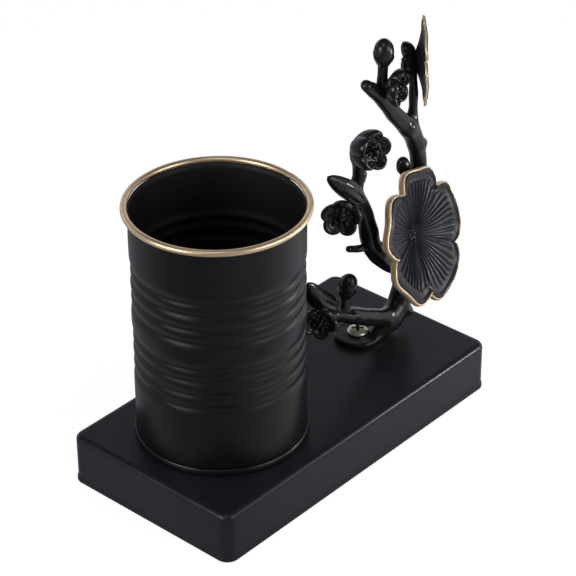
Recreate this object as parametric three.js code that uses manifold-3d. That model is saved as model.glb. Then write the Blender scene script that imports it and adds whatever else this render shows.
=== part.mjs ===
// Pen holder: a ribbed steel cup and a cast blossom branch on a pressed steel base.
// Millimetres, +Z up. X runs along the base from the cup to the branch, and -Y is the front.
// The origin is the middle of the underside.

import * as THREE from 'three';
import { mergeVertices } from 'three/addons/utils/BufferGeometryUtils.js';
import Module from 'manifold-3d';

const wasm = await Module();
wasm.setup();

// Room left between pieces that touch, for paint, glue and solder.
const seatGap = 0.3;

// The base is a pressed tray over a board, standing on a foam pad.
const baseWidth = 90;
const shellHeight = 23.1;
const shellSheet = 1;
const shellCornerRadius = 5;
const shellEdgeRadius = 2.5;
const hemFlare = 0.5;
const hemLip = 1.3;
const hemHeight = 2.2;
const coreRecess = 3.5;
const padProud = 0.8;
const padMargin = 3;

// The cup is a seamed can with two groups of beads rolled into its wall.
const cupInset = 46.7;
const cupSetback = 1;
const cupRadius = 36.3;
const cupHeight = 110;
const cupSheet = 0.5;
const rimTubeRadius = 1.7;
const beadPitch = 6.25;
const beadDepth = 0.7;
const beadShoulder = 1.9;
const beadsPerGroup = 3;
const beadGroupHeights = [41.8, 73.3];
const seamWidth = 0.5;
const seamHeight = 3;
const panelRise = 4;
const dimpleRadius = 8;
const cupSides = 32;

// Fasteners under the cup and through the branch's foot.
const cupScrew = { shank: 2, head: 4, headHeight: 2.2, nutWidth: 7, nutHeight: 3.2 };
const footScrew = { shank: 2.5, head: 4.7, headHeight: 2.2, nutWidth: 8, nutHeight: 4 };
const nutPocketDepth = 8;
const socketRoom = 2.5;
const washerThickness = 1;
const washerLap = 0.5;
const boltHoleClearance = 0.4;
const threadRunOut = 1.2;

// The branch stands on a round foot, held by one screw. Its upper flower sets its size, and
// its twig ends a little way from the cup, which sets the length of the base.
const upperFlowerHeight = 133;
const twigToCup = 4.9;
const footInset = 35;
const footSetback = 1.5;
const footRadius = 10.6;
const footThickness = 2.2;
const pegRadius = 0.9;
const rivetShank = 1.2;

// The two large flowers share one form, and differ in size.
const lowerFlower = {
  lobe: 30.6, notch: 24.6, funnel: 6.8, wall: 1.7, eye: 4.6, border: 2, crown: 0.9, vein: 0.4,
  boss: 3.4, bossLength: 4, rivet: 2.8,
};
const upperFlower = {
  lobe: 19.6, notch: 15.8, funnel: 3, wall: 1.2, eye: 3.2, border: 1.6, crown: 0.6, vein: 0.3,
  boss: 2.4, bossLength: 3, rivet: 1.4,
};
const petalCount = 5;
const veinsPerPetal = 6;

const coreTop = padProud + shellHeight - shellSheet - seatGap;
const coreBottom = padProud + coreRecess;
const baseTop = padProud + shellHeight;

const satinBlack = new THREE.MeshStandardMaterial({ color: 0x1b1b1d, roughness: 0.5, metalness: 0.2 });
const glossBlack = new THREE.MeshStandardMaterial({ color: 0x0c0c0d, roughness: 0.22, metalness: 0.2 });
const gold = new THREE.MeshStandardMaterial({ color: 0xc8a57d, roughness: 0.35, metalness: 0.9 });
const zinc = new THREE.MeshStandardMaterial({ color: 0xcfc48a, roughness: 0.3, metalness: 1 });
const board = new THREE.MeshStandardMaterial({ color: 0xb39468, roughness: 0.9, metalness: 0 });
const foam = new THREE.MeshStandardMaterial({ color: 0x151515, roughness: 0.95, metalness: 0 });

// Turns a closed surface into a solid that can be joined and cut.
function solid(geometry) {
  const bare = geometry.clone();
  bare.deleteAttribute('normal');
  bare.deleteAttribute('uv');
  const merged = mergeVertices(bare, 1e-4);
  const corners = merged.index.array;
  const kept = [];
  for (let i = 0; i < corners.length; i += 3) {
    const [a, b, c] = corners.slice(i, i + 3);
    if (a !== b && b !== c && c !== a) {
      kept.push(a, b, c);
    }
  }
  return new wasm.Manifold(new wasm.Mesh({
    numProp: 3,
    vertProperties: merged.attributes.position.array,
    triVerts: new Uint32Array(kept),
  }));
}

function named(name, shape, finish) {
  const { vertProperties, triVerts } = shape.getMesh();
  const geometry = new THREE.BufferGeometry();
  geometry.setAttribute('position', new THREE.BufferAttribute(vertProperties, 3));
  geometry.setIndex(new THREE.BufferAttribute(triVerts, 1));
  geometry.computeVertexNormals();
  const mesh = new THREE.Mesh(geometry, finish);
  mesh.name = name;
  return mesh;
}

const join = (shapes) => shapes.reduce((whole, shape) => whole.add(shape));

// Joins rings of points, from the lowest to the highest, and closes both ends with a fan.
function skin(rings) {
  const sides = rings[0].length;
  const positions = rings.flat().flatMap((point) => point.toArray());
  const index = [];
  for (let ring = 0; ring + 1 < rings.length; ring += 1) {
    for (let side = 0; side < sides; side += 1) {
      const here = ring * sides + side;
      const beside = ring * sides + (side + 1) % sides;
      index.push(here, beside, beside + sides, here, beside + sides, here + sides);
    }
  }
  for (const ring of [0, rings.length - 1]) {
    const middle = new THREE.Vector3();
    rings[ring].forEach((point) => middle.addScaledVector(point, 1 / sides));
    const pole = positions.length / 3;
    positions.push(...middle.toArray());
    for (let side = 0; side < sides; side += 1) {
      const here = ring * sides + side;
      const beside = ring * sides + (side + 1) % sides;
      index.push(pole, ring ? here : beside, ring ? beside : here);
    }
  }
  const geometry = new THREE.BufferGeometry();
  geometry.setAttribute('position', new THREE.Float32BufferAttribute(positions, 3));
  geometry.setIndex(index);
  return solid(geometry);
}

// Revolves a profile of [radius, height] points about +Z. It closes on the axis or on itself.
function turned(profile, sides) {
  const points = profile.map(([radius, height]) => new THREE.Vector2(radius, height));
  if (points[0].x > 0) {
    points.push(points[0].clone());
  }
  return solid(new THREE.LatheGeometry(points, sides).rotateX(Math.PI / 2));
}

const disc = (radius, low, high, sides) => (
  turned([[0, low], [radius, low], [radius, high], [0, high]], sides)
);

// A rounded rectangle at one height, as a ring of points.
function roundedRing(length, width, radius, height) {
  const ring = [];
  const steps = 4;
  for (let corner = 0; corner < 4; corner += 1) {
    const middle = new THREE.Vector3(
      [1, -1, -1, 1][corner] * (length / 2 - radius),
      [1, 1, -1, -1][corner] * (width / 2 - radius),
      height,
    );
    for (let step = 0; step <= steps; step += 1) {
      const angle = (corner + step / steps) * Math.PI / 2;
      const reach = new THREE.Vector3(Math.cos(angle), Math.sin(angle), 0);
      ring.push(middle.clone().addScaledVector(reach, radius));
    }
  }
  return ring;
}

// A rounded block whose sides follow [inset, height] pairs.
function tray(length, width, radius, steps) {
  return skin(steps.map(([inset, height]) => (
    roundedRing(length - 2 * inset, width - 2 * inset, radius - inset, height)
  )));
}

// Places a tool or piece at [x, y] and a height.
const moved = (shape, x, y, z = 0) => shape.translate([x, y, z]);

// How far a nut's corners reach from its middle.
const nutCorner = ({ nutWidth }) => nutWidth / Math.sqrt(3);

// The pressed base tray, open underneath, with a flared hem and two screw holes.
function baseShell(baseLength, boltPlaces) {
  const arc = [0, 1, 2, 3, 4].map((step) => step * Math.PI / 8);
  const outside = tray(baseLength, baseWidth, shellCornerRadius, [
    [-hemFlare, padProud],
    [-hemFlare, padProud + hemLip],
    [0, padProud + hemHeight],
    ...arc.map((angle) => [
      shellEdgeRadius * (1 - Math.cos(angle)),
      baseTop - shellEdgeRadius * (1 - Math.sin(angle)),
    ]),
  ]);
  const inside = tray(baseLength, baseWidth, shellCornerRadius, [
    [shellSheet, 0],
    [shellSheet, baseTop - shellEdgeRadius],
    [shellEdgeRadius, baseTop - shellSheet],
  ]);
  const holes = boltPlaces.map(({ x, y, screw }) => (
    moved(disc(screw.shank + boltHoleClearance, coreTop, baseTop + shellSheet, 16), x, y)
  ));
  return outside.subtract(join([inside, ...holes]));
}

// The board that fills the tray, drilled for the screws and pocketed for their nuts.
function baseCore(baseLength, boltPlaces) {
  const inset = shellSheet + seatGap;
  const block = tray(baseLength, baseWidth, shellCornerRadius, [
    [inset, coreBottom],
    [inset, baseTop - shellEdgeRadius - seatGap],
    [shellEdgeRadius + seatGap, coreTop],
  ]);
  const cuts = boltPlaces.flatMap(({ x, y, screw }) => [
    moved(disc(screw.shank + boltHoleClearance, 0, baseTop, 16), x, y),
    moved(disc(nutCorner(screw) + socketRoom, 0, coreBottom + nutPocketDepth, 20), x, y),
  ]);
  return block.subtract(join(cuts));
}

function basePad(baseLength) {
  const inset = shellSheet + padMargin;
  return tray(baseLength, baseWidth, shellCornerRadius, [[inset, 0], [inset, coreBottom - seatGap]]);
}

// A cross-recess pan-head screw. Its head rests at height 0 and its shank points down.
function panScrew({ shank, head, headHeight }, length) {
  const blank = turned([
    [0, -length],
    [shank, -length],
    [shank, 0],
    [head, 0],
    [head, headHeight * 0.4],
    [head * 0.85, headHeight * 0.8],
    [head * 0.5, headHeight],
    [0, headHeight],
  ], 16);
  const recessLength = head * 1.05;
  const recessWidth = head * 0.2;
  const recess = [0, 1].map((turn) => {
    const slot = new THREE.BoxGeometry(recessLength, recessWidth, headHeight);
    return solid(slot.translate(0, 0, headHeight).rotateZ(turn * Math.PI / 2));
  });
  return blank.subtract(join(recess));
}

const washer = (screw) => turned([
  [screw.shank + boltHoleClearance, 0],
  [nutCorner(screw) + washerLap, 0],
  [nutCorner(screw) + washerLap, washerThickness],
  [screw.shank + boltHoleClearance, washerThickness],
], 20);

function nut(screw) {
  const bore = disc(screw.shank + seatGap, -1, screw.nutHeight + 1, 16);
  return disc(nutCorner(screw), 0, screw.nutHeight, 6).subtract(bore);
}

// One screw, washer and nut, clamping from the height of the head's seat down to the pocket.
function fastening(prefix, screw, x, y, headSeat) {
  const pocketRoof = coreBottom + nutPocketDepth;
  const washerPlace = pocketRoof - seatGap - washerThickness;
  const nutPlace = washerPlace - seatGap - screw.nutHeight;
  const group = new THREE.Group();
  group.position.set(x, y, 0);
  const length = headSeat - nutPlace + threadRunOut;
  const pieces = [
    [`${prefix}_screw`, panScrew(screw, length), headSeat],
    [`${prefix}_washer`, washer(screw), washerPlace],
    [`${prefix}_nut`, nut(screw), nutPlace],
  ];
  pieces.forEach(([name, shape, height]) => {
    const mesh = named(name, shape, zinc);
    mesh.position.z = height;
    group.add(mesh);
  });
  return group;
}

// The cup's own frame has its height 0 on the top of the base.
const seamRadius = cupRadius + seatGap + seamWidth;
const channelRadius = cupRadius - cupSheet - seatGap;
const panelTop = seatGap + panelRise + cupSheet;
const wallBottom = 2 * seatGap + seamWidth;
const rimCentreRadius = cupRadius - cupSheet + rimTubeRadius;
const rimCentreHeight = cupHeight - rimTubeRadius;

// The wall's outer line from bottom to top, as [depth below the plain radius, height].
function beadLine() {
  const line = [[0, wallBottom]];
  beadGroupHeights.forEach((middle) => {
    const first = middle - beadsPerGroup * beadPitch / 2;
    line.push([0, first - beadShoulder]);
    for (let bead = 0; bead <= beadsPerGroup; bead += 1) {
      const valley = first + bead * beadPitch;
      line.push([beadDepth, valley]);
      if (bead < beadsPerGroup) {
        line.push([0, valley + beadPitch / 2]);
      }
    }
    line.push([0, first + beadsPerGroup * beadPitch + beadShoulder]);
  });
  return [...line, [0, rimCentreHeight - seatGap]];
}

function cupWall() {
  const line = beadLine();
  const outside = line.map(([depth, height]) => [cupRadius - depth, height]);
  const inside = line.map(([depth, height]) => [cupRadius - cupSheet - depth, height]);
  return turned([...outside, ...inside.reverse()], cupSides);
}

// The rolled rim: an open curl that starts on top of the wall and turns outwards.
function cupRim() {
  const curl = (radius, angle) => [
    rimCentreRadius + radius * Math.cos(angle),
    rimCentreHeight + radius * Math.sin(angle),
  ];
  const steps = 6;
  const start = Math.PI;
  const sweep = -1.55 * Math.PI;
  const angles = Array.from({ length: steps + 1 }, (_, step) => start + sweep * step / steps);
  const outer = angles.map((angle) => curl(rimTubeRadius, angle));
  const inner = angles.map((angle) => curl(rimTubeRadius - cupSheet, angle));
  return turned([...inner, ...outer.reverse()], cupSides);
}

// The pressed end: a dimple for the screw, a raised panel, and the seam that holds the wall.
function cupBottom() {
  const low = seatGap;
  return turned([
    [cupScrew.shank + boltHoleClearance, low],
    [dimpleRadius, low],
    [dimpleRadius + panelRise, low + panelRise],
    [channelRadius - cupSheet, low + panelRise],
    [channelRadius - cupSheet, low + seamWidth],
    [channelRadius, low],
    [seamRadius - seamWidth / 2, low],
    [seamRadius, low + seamWidth],
    [seamRadius, low + seamHeight],
    [seamRadius - seamWidth, low + seamHeight],
    [seamRadius - seamWidth, low + seamWidth],
    [channelRadius, low + seamWidth],
    [channelRadius, panelTop],
    [dimpleRadius + panelRise, panelTop],
    [dimpleRadius, low + cupSheet],
    [cupScrew.shank + boltHoleClearance, low + cupSheet],
  ], cupSides);
}

// Everything on the branch is drawn from the middle of its foot, on the top of the base, for
// an upper flower at a height of 133. The branch's own size follows from that flower's height.
const branchScale = upperFlowerHeight / 133;
const sized = (numbers) => numbers.map((number) => number * branchScale);

// Each limb is a list of [x, y, z, radius] stations along its middle line.
const limbs = {
  trunk: [
    [4.5, -7.5, 2.5, 3.5], [8.5, -8, 5, 4.8], [13, -8.5, 7.5, 5.4], [18.5, -8.5, 13, 5.2],
    [21, -8.5, 21, 4.6], [21.8, -8.5, 33, 4.3], [23.5, -8, 46, 4.1], [27.5, -7.5, 58.5, 3.8],
    [31.2, -7, 69, 3.8], [31.8, -7, 79.5, 3.7], [29.7, -7.5, 87.5, 3.7], [25.8, -8, 96, 4.2],
    [20.6, -8.5, 104.5, 4],
  ],
  crown: [
    [20.6, -8.5, 104.5, 3.9], [15.3, -8.5, 112.5, 3.4], [8.5, -8.5, 120.5, 3.2],
    [2.5, -8.5, 126.5, 3], [-5.2, -8.5, 131, 2.7],
  ],
  stem: [
    [23.5, -8.2, 99.5, 3.2], [25, -8.5, 110, 2.2], [25, -8.5, 118.5, 2], [23.5, -8.5, 126.5, 2],
    [22.9, -8.7, 132.5, 2],
  ],
  spur: [
    [24, -8, 48, 3.6], [19.5, -10.5, 50, 3.4], [14.7, -13.2, 52, 3.2],
  ],
  bough: [
    [21, -8.5, 29.5, 3.4], [12, -8.8, 36, 3.8], [4, -9, 44, 4.2], [-2.5, -9.3, 53, 4.4],
    [-5, -9.5, 61.5, 4.1], [-8, -9.5, 71.5, 3.7], [-12.4, -9.5, 81.5, 3.2], [-13.3, -9.5, 87, 3],
    [-11.8, -9.7, 92.5, 2.9],
  ],
  twig: [
    [14, -8.5, 8, 4.6], [4.5, -9, 12, 3.9], [-6, -9.5, 17.5, 3.8], [-15.5, -9.5, 23, 3.8],
    [-22.5, -9.5, 27, 3.4], [-28, -9.8, 29.5, 2.9],
  ],
};
const limbStep = 5;
const stalkStep = 3;
const tipReach = 0.8;
const tipShare = 0.55;

// A tapered eight-sided limb along its stations, grown by an allowance, with blunted ends.
function limb(drawnStations, allowance, longestStep) {
  const sides = 8;
  const stations = drawnStations.map(sized);
  const curve = new THREE.CatmullRomCurve3(stations.map(([x, y, z]) => new THREE.Vector3(x, y, z)));
  const count = Math.max(2, Math.round(curve.getLength() / longestStep));
  const frames = curve.computeFrenetFrames(count, false);
  const rings = [];
  const addRing = (at, advance, share) => {
    const place = curve.getUtoTmapping(at / count) * (stations.length - 1);
    const before = Math.min(stations.length - 2, Math.floor(place));
    const [start, end] = [stations[before][3], stations[before + 1][3]];
    const radius = allowance + THREE.MathUtils.lerp(start, end, place - before);
    const middle = curve.getPointAt(at / count).addScaledVector(frames.tangents[at], advance * radius);
    rings.push(Array.from({ length: sides }, (_, side) => {
      const angle = 2 * Math.PI * side / sides;
      return middle.clone()
        .addScaledVector(frames.normals[at], share * radius * Math.cos(angle))
        .addScaledVector(frames.binormals[at], share * radius * Math.sin(angle));
    }));
  };
  addRing(0, -tipReach, tipShare);
  for (let at = 0; at <= count; at += 1) {
    addRing(at, 0, 1);
  }
  addRing(count, tipReach, tipShare);
  return skin(rings);
}

// How far a petal reaches at an angle, as a share between its notches (0) and its lobe (1).
function lobeShare(angle) {
  const petal = 2 * Math.PI / petalCount;
  const across = (angle / petal - Math.round(angle / petal)) * 2;
  return 1 - Math.abs(across) ** 3;
}

// The height of a large flower's bowl, at a share of the way from its middle to its edge.
const bowlHeight = ({ funnel }, share) => -funnel * (1 - share) ** 1.2;
const bowlWaist = 0.45;

// A large flower facing +Z, with its edge in the plane of height 0 and a hole for its rivet.
// On the front, a vein runs out between each two grooves, and a plain border follows the edge.
function largeFlower(form) {
  const { lobe, notch, funnel, wall, eye, border, crown, vein } = form;
  const sides = 2 * veinsPerPetal * petalCount;
  const front = [
    [0.16, 0], [0.34, 1], [0.56, 1], [0.78, 1], [1 - border / notch, 0.4],
  ];
  const ring = (share, height, ridge, inset = 0) => Array.from({ length: sides }, (_, side) => {
    const angle = 2 * Math.PI * side / sides;
    const outline = notch + (lobe - notch) * lobeShare(angle);
    const radius = share * THREE.MathUtils.lerp(notch, outline, share) - inset;
    const swell = lobeShare(angle) * crown * share * share;
    const groove = side % 2 ? 0 : vein * ridge;
    const level = height + swell - groove;
    return new THREE.Vector3(radius * Math.cos(angle), radius * Math.sin(angle), level);
  });
  const bowl = (share) => bowlHeight(form, share);
  const rings = [
    ring(eye / notch * 0.7, -funnel - wall, 0),
    ring(bowlWaist, bowl(bowlWaist) - wall, 0),
    ring(0.85, bowl(0.85) - wall, 0),
    ring(1, -wall, 0, wall * 0.4),
    ring(1, -wall * 0.4, 0),
    ring(1, wall * 0.15, 0, wall * 0.2),
    ...front.reverse().map(([share, ridge]) => ring(share, bowl(share) - wall * 0.25, ridge)),
    ring(eye / notch * 0.6, -funnel, 0),
  ];
  const hole = disc(rivetShank + seatGap, -2 * funnel - wall, funnel, 12);
  return skin(rings).subtract(hole);
}

// The rivet through a flower's eye. Its head is a dome of stamen beads on height 0.
function stamenRivet({ eye, wall, rivet }) {
  const head = turned([
    [0, -wall - seatGap - rivet],
    [rivetShank, -wall - seatGap - rivet],
    [rivetShank, seatGap],
    [eye * 0.5, seatGap],
    [eye * 0.45, seatGap + eye * 0.2],
    [0, seatGap + eye * 0.3],
  ], 12);
  const beadRadius = eye * 0.16;
  const beadCircle = eye * 0.3;
  const beads = Array.from({ length: petalCount }, (_, at) => {
    const ball = new THREE.SphereGeometry(beadRadius, 6, 4).translate(beadCircle, 0, eye * 0.36);
    return solid(ball.rotateZ(2 * Math.PI * (at + 0.5) / petalCount));
  });
  return join([head, ...beads]);
}

// A small five-petalled blossom facing +Z, as rings of [share of the outline, height].
function blossom(radius) {
  const sides = petalCount * 4;
  const notchShare = 0.74;
  const profile = [
    [0.28, -0.92], [0.5, -0.76], [0.64, -0.5], [0.88, -0.3], [1, -0.12],
    [0.98, 0.04], [0.8, 0.08], [0.5, -0.12], [0.2, -0.3],
  ];
  return skin(profile.map(([share, height]) => Array.from({ length: sides }, (_, side) => {
    const angle = 2 * Math.PI * side / sides;
    const petal = THREE.MathUtils.lerp(notchShare, 1, lobeShare(angle));
    const outline = THREE.MathUtils.lerp(1, petal, share);
    const reach = radius * share * outline;
    return new THREE.Vector3(reach * Math.cos(angle), reach * Math.sin(angle), radius * height);
  })));
}

// A bud with a pointed tip, standing on height 0.
function bud(radius, height) {
  return turned([
    [0, 0], [radius * 0.5, 0], [radius * 0.86, height * 0.2], [radius, height * 0.45],
    [radius * 0.86, height * 0.72], [radius * 0.5, height * 0.93], [0, height],
  ], 12);
}

// A frame at a point whose +Z is the given direction, leaning as little as it can.
function facing({ point, direction, spin = 0 }) {
  const turn = new THREE.Quaternion().setFromUnitVectors(
    new THREE.Vector3(0, 0, 1),
    new THREE.Vector3(...direction).normalize(),
  );
  turn.multiply(new THREE.Quaternion().setFromAxisAngle(new THREE.Vector3(0, 0, 1), spin));
  return new THREE.Matrix4().compose(new THREE.Vector3(...point), turn, new THREE.Vector3(1, 1, 1));
}

// A leaf along three stations, wide across the given direction, with a keel along its middle.
function leaf(stations, across, width, thickness) {
  const curve = new THREE.CatmullRomCurve3(stations.map((point) => new THREE.Vector3(...point)));
  const widthway = new THREE.Vector3(...across).normalize();
  const steps = 7;
  return skin(Array.from({ length: steps + 1 }, (_, step) => {
    const along = step / steps;
    const swell = Math.max(0.06, Math.sin(Math.PI * along ** 0.8) ** 0.8);
    const middle = curve.getPointAt(along);
    const tangent = curve.getTangentAt(along);
    const side = widthway.clone().addScaledVector(tangent, -widthway.dot(tangent)).normalize();
    const up = new THREE.Vector3().crossVectors(tangent, side);
    const section = [[1, 0], [0.45, 0.5], [0, 0.9], [-0.45, 0.5], [-1, 0], [-0.4, -0.6], [0.4, -0.6]];
    return section.map(([wide, thick]) => middle.clone()
      .addScaledVector(side, wide * width / 2 * swell)
      .addScaledVector(up, thick * thickness / 2 * Math.max(swell, 0.3)));
  }));
}

// The large flowers' places: the middle of the edge plane, the facing direction and the spin.
const flowerPlaces = {
  lower: {
    form: lowerFlower,
    point: sized([16.5, -23.5, 55.4]),
    direction: [0.174, -0.936, 0.308],
    spin: 0.206,
  },
  upper: {
    form: upperFlower,
    point: sized([26.9, -13.2, 133]),
    direction: [0.664, -0.748, 0.02],
    spin: 0.3,
  },
};

const leafWidthway = [0.5, -0.5, 0.75];

// Small castings that are pegged and soldered to the branch. Each starts at a root inside a limb.
const sprigs = [
  {
    name: 'crown_bud',
    stalk: [[4, -8.5, 125.3, 2.5], [4, -8.5, 132, 2.2], [4.2, -8.5, 139, 2.2]],
    bloom: bud(4.3, 11),
    at: { point: [4.3, -8.5, 138.3], direction: [0.03, 0, 1], spin: 0 },
  },
  {
    name: 'trunk_bud',
    stalk: [[32.3, -7, 75.5, 2.2], [26.5, -6.8, 76, 1.5], [23, -6.6, 78.5, 1.6]],
    bloom: bud(3.1, 8.4),
    at: { point: [22.4, -6.6, 77.4], direction: [-0.15, 0, 1], spin: 0 },
  },
  {
    name: 'low_bud',
    stalk: [[-20.4, -9.5, 26, 2.2], [-20.2, -9.5, 31, 2], [-19.8, -9.5, 37.5, 2.2]],
    bloom: bud(4.3, 9.8),
    at: { point: [-19.8, -9.5, 36.6], direction: [0.05, 0, 1], spin: 0 },
  },
  {
    name: 'crown_blossom',
    stalk: [[8.8, -8.5, 120.2, 2.2], [6.5, -12, 124.5, 2], [5.5, -12.5, 126, 2]],
    bloom: blossom(7.4),
    at: { point: [7.6, -17.5, 127.3], direction: [0.4, -0.9, 0.05], spin: 0 },
  },
  {
    name: 'top_blossom',
    stalk: [[22.2, -7.9, 133, 1.6], [20.9, -6.4, 133.2, 1.6]],
    bloom: blossom(6.2),
    at: { point: [19.5, -4.9, 134.6], direction: [-0.664, 0.748, 0], spin: 0 },
  },
  {
    name: 'bough_blossom',
    stalk: [[-12, -9.7, 91.5, 2.2], [-11.5, -9.7, 98.5, 2.8], [-13, -9.7, 102.5, 3.2]],
    bloom: blossom(10),
    at: { point: [-11.1, -18, 106.2], direction: [0.1, -0.93, 0.34], spin: 0 },
  },
  {
    name: 'side_blossom',
    stalk: [[-8.9, -9.5, 74, 2.5], [-15, -9.8, 74.5, 2.3], [-21, -11.5, 76, 2.4]],
    bloom: blossom(9),
    at: { point: [-29.6, -13.7, 80.2], direction: [-0.78, -0.35, 0.5], spin: 0.55 },
  },
  {
    name: 'low_blossom',
    stalk: [[-26.5, -9.7, 28.8, 2.4], [-33.5, -9.8, 29.5, 2.2], [-37, -10.5, 29.6, 2.2]],
    bloom: blossom(7.8),
    at: { point: [-42.6, -14.2, 34], direction: [-0.55, -0.65, 0.5], spin: 0.2 },
  },
  {
    name: 'bough_leaf',
    stalk: [[-11.5, -9.5, 80, 2], [-15, -14.2, 83.5, 1.8], [-19, -15.2, 87, 1.6]],
    bloom: leaf([[-15.1, -14.6, 83.2], [-26.5, -15.2, 94], [-36, -12.6, 102.7]], leafWidthway, 8.5, 3.2),
  },
  {
    name: 'low_leaf',
    stalk: [[-24.8, -9.6, 28, 2.2], [-27, -9, 34, 2], [-29.8, -8.8, 37, 1.8]],
    bloom: leaf([[-25.8, -9, 32.6], [-34, -9.2, 42], [-43.4, -8.5, 52.8]], leafWidthway, 8.5, 3.4),
  },
  {
    name: 'small_leaf',
    stalk: [[-3, -9.3, 53.5, 2.2], [-9, -9.5, 54.6, 1.7], [-13, -9.5, 56, 1.6], [-18, -9.5, 58.2, 1.5]],
    bloom: leaf([[-8, -9.5, 54.4], [-13.5, -9.5, 56.5], [-19.5, -9.5, 59]], [0, -1, 0.2], 4.6, 2.6),
  },
];

// The straight line from a sprig's root to the next station of its stalk, for its peg and hole.
function pegLine({ stalk }) {
  const [root, next] = stalk.slice(0, 2).map((station) => new THREE.Vector3(...sized(station.slice(0, 3))));
  const along = next.sub(root);
  return { root, length: along.length(), along: along.normalize() };
}

function rodAlong(from, along, start, end, radius) {
  const rod = new THREE.CylinderGeometry(radius, radius, end - start, 8).rotateX(Math.PI / 2);
  rod.translate(0, 0, (start + end) / 2);
  return solid(rod.applyMatrix4(facing({ point: from.toArray(), direction: along.toArray() })));
}

// A flower's boss is the round seat behind its eye. The rivet goes down a hole in the boss.
function bossRod({ form, point, direction }, start, depth, radius) {
  const inward = new THREE.Vector3(...direction).normalize().negate();
  const back = form.funnel + form.wall + seatGap;
  return rodAlong(new THREE.Vector3(...point), inward, back + start, back + depth, radius);
}

// The room that a flower needs behind it, from its edge plane back to its seat.
function flowerRoom(place) {
  const { form } = place;
  const back = (share) => bowlHeight(form, share) - form.wall - seatGap;
  return turned([
    [0, back(0)],
    [form.eye * 0.8, back(0)],
    [form.notch * bowlWaist, back(bowlWaist)],
    [form.notch, back(1)],
    [form.lobe * 1.05, back(1)],
    [form.lobe * 1.05, form.wall],
    [0, form.wall],
  ], 24).transform(facing(place).toArray());
}

const footDisc = disc(footRadius, seatGap, seatGap + footThickness, 28);
const woodGrownBy = (allowance) => join(
  [
    ...Object.values(limbs).map((stations) => limb(stations, allowance, limbStep)),
    ...Object.values(flowerPlaces).map((place) => (
      bossRod(place, 0, place.form.bossLength + allowance, place.form.boss + allowance)
    )),
  ],
);
const woodWithClearance = woodGrownBy(seatGap);

// The cast branch: limbs, foot and flower posts, with the screw hole, rivet holes and peg holes.
function branch() {
  const underBase = disc(footRadius * 4, -footRadius, seatGap, 12);
  const screwHole = disc(footScrew.shank + boltHoleClearance, 0, footRadius, 16);
  const screwHead = disc(footScrew.head + seatGap, seatGap + footThickness, footRadius, 20);
  const rivetHoles = Object.values(flowerPlaces).map((place) => (
    bossRod(place, -seatGap, place.form.rivet + seatGap, rivetShank + seatGap)
  ));
  const pegHoles = sprigs.map((sprig) => {
    const { root, along, length } = pegLine(sprig);
    return rodAlong(root, along, -seatGap, length, pegRadius + seatGap);
  });
  const casting = join([woodGrownBy(0), footDisc]);
  const rooms = Object.values(flowerPlaces).map(flowerRoom);
  return casting.subtract(join([underBase, screwHole, screwHead, ...rooms, ...rivetHoles, ...pegHoles]));
}

// A sprig is its stalk and bloom, cut back to a saddle on the branch, and a peg into it.
function sprigShape(sprig) {
  const upright = sprig.bloom.scale(branchScale);
  const bloom = sprig.at
    ? upright.transform(facing({ ...sprig.at, point: sized(sprig.at.point) }).toArray())
    : upright;
  const { root, along, length } = pegLine(sprig);
  const peg = rodAlong(root, along, 0, length, pegRadius);
  const grown = join([limb(sprig.stalk, 0, stalkStep), bloom]);
  return grown.subtract(woodWithClearance).add(peg);
}

// The base is as long as the cup, the foot and the twig between them need.
const sprigShapes = sprigs.map(sprigShape);
const twigReach = -Math.min(...sprigShapes.map((shape) => shape.boundingBox().min[0]));
const cupToFoot = cupRadius + twigToCup + twigReach;
const baseLength = cupInset + cupToFoot + footInset;
const cupX = cupInset - baseLength / 2;
const footX = cupX + cupToFoot;
const boltPlaces = [
  { x: cupX, y: cupSetback, screw: cupScrew },
  { x: footX, y: footSetback, screw: footScrew },
];

const penHolder = new THREE.Group();

penHolder.add(
  named('base_shell', baseShell(baseLength, boltPlaces), satinBlack),
  named('base_core', baseCore(baseLength, boltPlaces), board),
  named('base_pad', basePad(baseLength), foam),
);

const cup = new THREE.Group();
cup.position.set(cupX, cupSetback, baseTop);
cup.add(
  named('cup_wall', cupWall(), satinBlack),
  named('cup_rim', cupRim(), gold),
  named('cup_bottom', cupBottom(), satinBlack),
);
penHolder.add(cup, fastening('cup', cupScrew, cupX, cupSetback, baseTop + 2 * seatGap + cupSheet));

const branchGroup = new THREE.Group();
branchGroup.position.set(footX, footSetback, baseTop);
branchGroup.add(named('branch', branch(), glossBlack));
sprigs.forEach(({ name }, at) => branchGroup.add(named(name, sprigShapes[at], glossBlack)));
Object.entries(flowerPlaces).forEach(([side, place]) => {
  const { form } = place;
  const flower = new THREE.Group();
  flower.applyMatrix4(facing(place));
  const rivet = named(`${side}_stamens`, stamenRivet(form), glossBlack);
  rivet.position.z = -form.funnel;
  flower.add(named(`${side}_flower`, largeFlower(form), satinBlack), rivet);
  branchGroup.add(flower);
});
penHolder.add(branchGroup);
penHolder.add(fastening('branch', footScrew, footX, footSetback, baseTop + 2 * seatGap + footThickness));

export default penHolder;
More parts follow.
